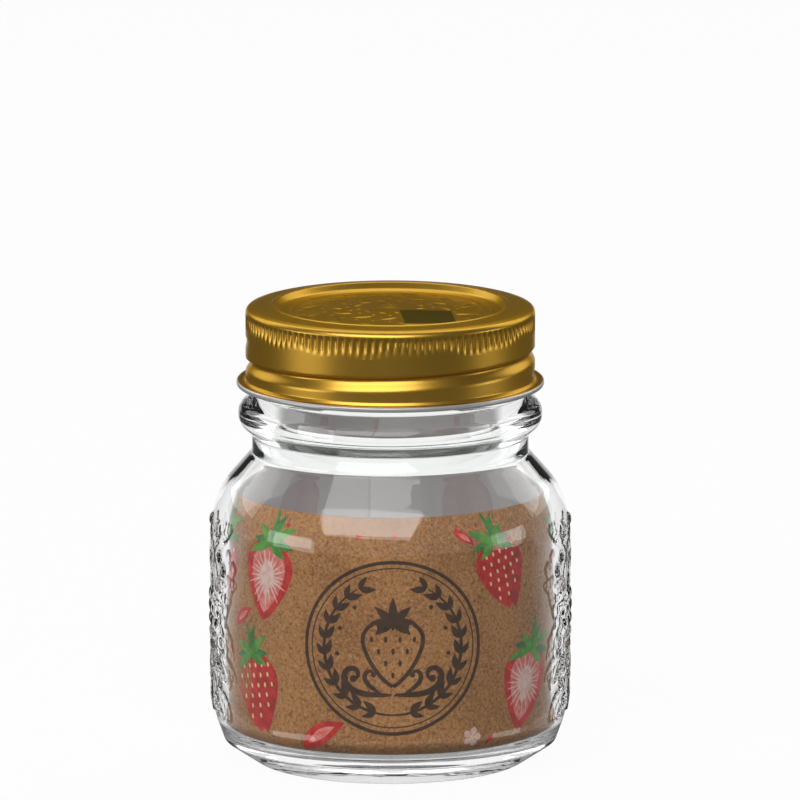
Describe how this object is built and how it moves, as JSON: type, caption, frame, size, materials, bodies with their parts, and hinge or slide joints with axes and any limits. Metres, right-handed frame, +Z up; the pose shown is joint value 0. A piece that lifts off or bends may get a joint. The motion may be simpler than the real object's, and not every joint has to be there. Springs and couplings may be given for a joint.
{
  "type": "preserving jar",
  "caption": "Clear glass preserving jar with relief fruit and leaves on its sides, a closed gold screw lid and a printed paper band inside.",
  "frame": {"origin": "middle of the jar's foot, on the surface it stands on", "axes": "+Z up along the jar's axis; -Y towards the bare front; the relief garlands are on -X and +X"},
  "size_m": [0.084, 0.0822, 0.1067],
  "materials": {
    "clear_glass": "clear pressed glass, polished",
    "gold_lacquer": "tinplate under gold lacquer, satin",
    "sealing_compound": "soft off-white compound",
    "printed_paper": "brown kraft paper printed with red fruit, uncoated"
  },
  "bodies": {
    "root": {"jar": "clear_glass", "lid": "gold_lacquer", "sealing_ring": "sealing_compound", "paper_band": "printed_paper"}
  },
  "joints": []
}
